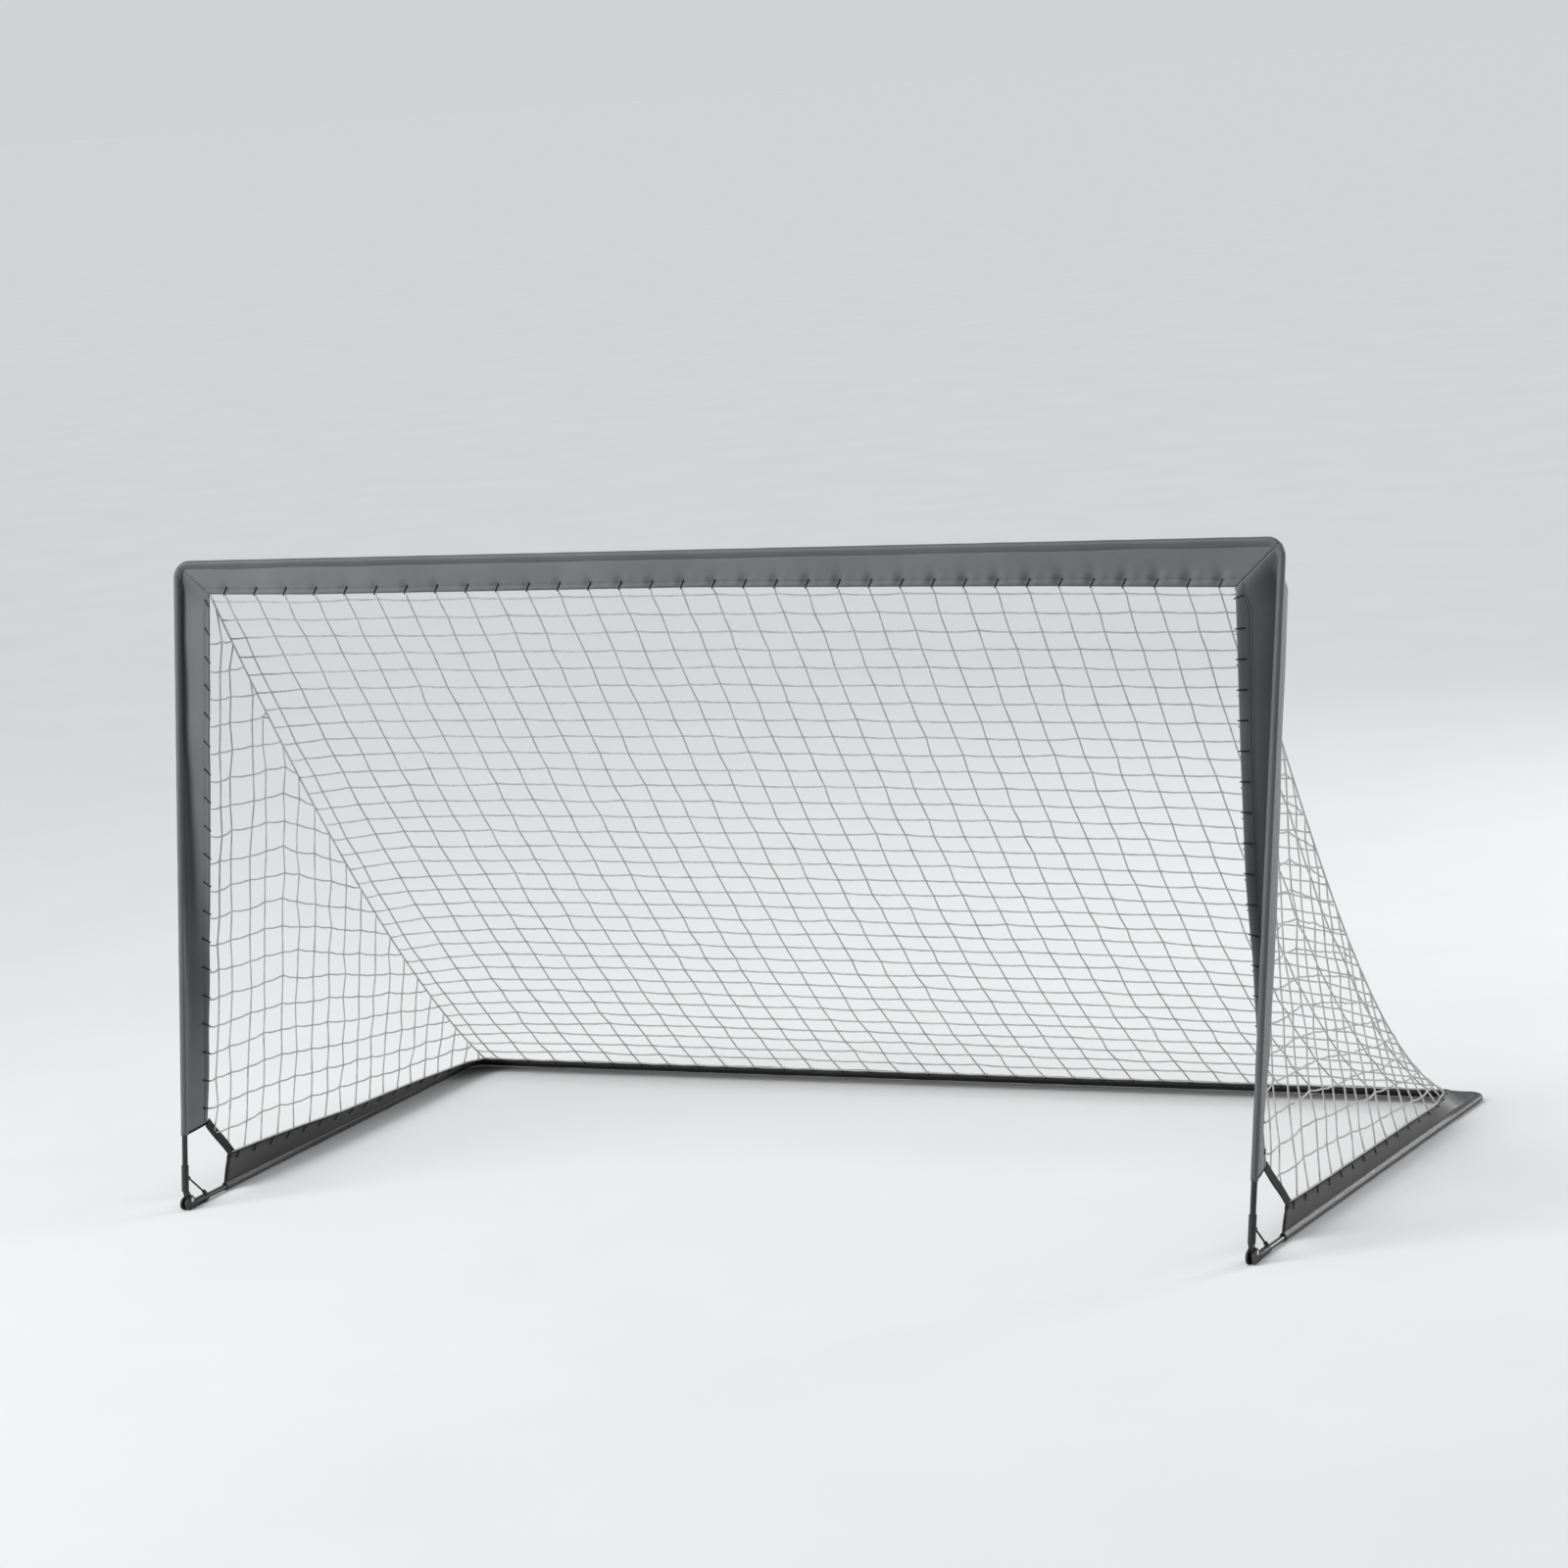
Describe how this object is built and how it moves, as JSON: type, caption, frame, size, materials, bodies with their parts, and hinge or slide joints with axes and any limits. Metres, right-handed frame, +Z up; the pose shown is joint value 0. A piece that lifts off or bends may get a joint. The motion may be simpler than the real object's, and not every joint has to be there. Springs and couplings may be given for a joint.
{
  "type": "portable folding goal",
  "caption": "Portable folding sports goal: slim poles in cloth sleeves, a U-shaped base, a hinged front frame and square-mesh netting at the back and sides.",
  "frame": {"origin": "on the floor, at the middle of the base", "axes": "+X across the mouth to the right as seen from the front, +Y from the mouth towards the back of the net, +Z up"},
  "size_m": [1.8824, 1.012, 1.0169],
  "materials": {
    "pole": "satin black",
    "ferrule": "plain drawn",
    "pin": "zinc plated",
    "fitting": "moulded black",
    "elastic": "braided cover",
    "cloth": "satin charcoal weave",
    "webbing": "black tape",
    "stay": "black braided cord",
    "twine": "knotted light-grey twine"
  },
  "bodies": {
    "base": {"back_net": "twine", "base_shock_cord": "elastic", "corner_strap_left": "webbing", "corner_strap_right": "webbing", "foot_knuckle_left": "fitting", "foot_knuckle_right": "fitting", "hinge_pin_left": "pin", "hinge_pin_right": "pin", "hip_cord_left": "twine", "hip_cord_right": "twine", "rail_band_left": "cloth", "rail_band_right": "cloth", "rail_ferrule_left": "ferrule", "rail_ferrule_right": "ferrule", "rail_pole_front_left": "pole", "rail_pole_front_right": "pole", "rail_pole_rear_left": "pole", "rail_pole_rear_right": "pole", "rail_sleeve_left": "cloth", "rail_sleeve_right": "cloth", "rear_band": "cloth", "rear_elbow_left": "pole", "rear_elbow_right": "pole", "rear_ferrule": "ferrule", "rear_pole_left": "pole", "rear_pole_right": "pole", "rear_sleeve": "cloth", "side_net_left": "twine", "side_net_right": "twine", "stay_cord_left": "stay", "stay_cord_right": "stay"},
    "front_frame": {"crossbar_pole_left": "pole", "crossbar_pole_right": "pole", "crossbar_ferrule": "ferrule", "top_elbow_left": "pole", "top_elbow_right": "pole", "post_pole_lower_left": "pole", "post_pole_lower_right": "pole", "post_pole_upper_left": "pole", "post_pole_upper_right": "pole", "post_ferrule_left": "ferrule", "post_ferrule_right": "ferrule", "post_foot_left": "fitting", "post_foot_right": "fitting", "front_shock_cord": "elastic", "crossbar_sleeve": "cloth", "post_sleeve_left": "cloth", "post_sleeve_right": "cloth", "crossbar_band": "cloth", "post_band_left": "cloth", "post_band_right": "cloth"}
  },
  "joints": [
    {"name": "front_fold", "type": "hinge", "parent": "base", "child": "front_frame", "pos_m": [0, -0.48897, 0.015], "axis": [-1, 0, 0], "range_deg": [0, 74], "deforming": ["post_band_left", "post_band_right", "rail_band_left", "rail_band_right", "stay_cord_left", "stay_cord_right", "corner_strap_left", "corner_strap_right", "back_net", "side_net_left", "side_net_right", "hip_cord_left", "hip_cord_right"]}
  ]
}
